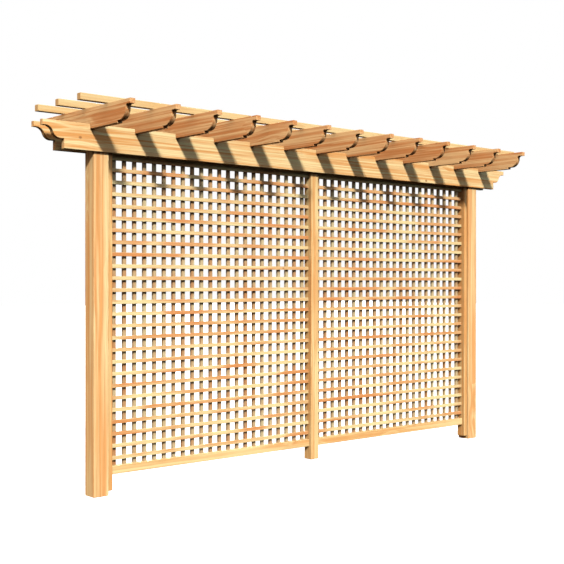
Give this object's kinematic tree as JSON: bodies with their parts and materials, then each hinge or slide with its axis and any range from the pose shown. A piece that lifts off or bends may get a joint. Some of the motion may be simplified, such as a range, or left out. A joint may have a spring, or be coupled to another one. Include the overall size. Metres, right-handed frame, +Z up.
{
  "type": "pergola",
  "caption": "Free-standing timber pergola wall: end posts carry beams with shaped ends, cross rafters and top slats, with framed square-lattice panels below.",
  "frame": {"origin": "on the ground, midway between the feet of the posts", "axes": "+X along the wall, +Y through it from front to back, +Z up"},
  "size_m": [5.86, 1.382, 3.2205],
  "materials": {
    "post_timber": "planed, clear oiled",
    "beam_timber": "planed, clear oiled",
    "rafter_timber": "planed, clear oiled",
    "slat_timber": "planed, clear oiled",
    "frame_timber": "planed, clear oiled",
    "lath_timber": "planed, clear oiled",
    "screw_steel": "satin"
  },
  "bodies": {
    "root": {"back_beam": "beam_timber", "back_slat": "slat_timber", "beam_screws": "screw_steel", "front_beam": "beam_timber", "front_slat": "slat_timber", "left_level_laths": "lath_timber", "left_panel_bottom_rail": "frame_timber", "left_panel_left_stile": "frame_timber", "left_panel_right_stile": "frame_timber", "left_panel_top_rail": "frame_timber", "left_post": "post_timber", "left_upright_laths": "lath_timber", "middle_slat": "slat_timber", "panel_screws": "screw_steel", "rafter_01": "rafter_timber", "rafter_02": "rafter_timber", "rafter_03": "rafter_timber", "rafter_04": "rafter_timber", "rafter_05": "rafter_timber", "rafter_06": "rafter_timber", "rafter_07": "rafter_timber", "rafter_08": "rafter_timber", "rafter_09": "rafter_timber", "rafter_10": "rafter_timber", "rafter_11": "rafter_timber", "rafter_12": "rafter_timber", "rafter_13": "rafter_timber", "rafter_screws": "screw_steel", "rail_screws": "screw_steel", "right_level_laths": "lath_timber", "right_panel_bottom_rail": "frame_timber", "right_panel_left_stile": "frame_timber", "right_panel_right_stile": "frame_timber", "right_panel_top_rail": "frame_timber", "right_post": "post_timber", "right_upright_laths": "lath_timber", "slat_screws": "screw_steel", "stile_screws": "screw_steel"}
  },
  "joints": []
}
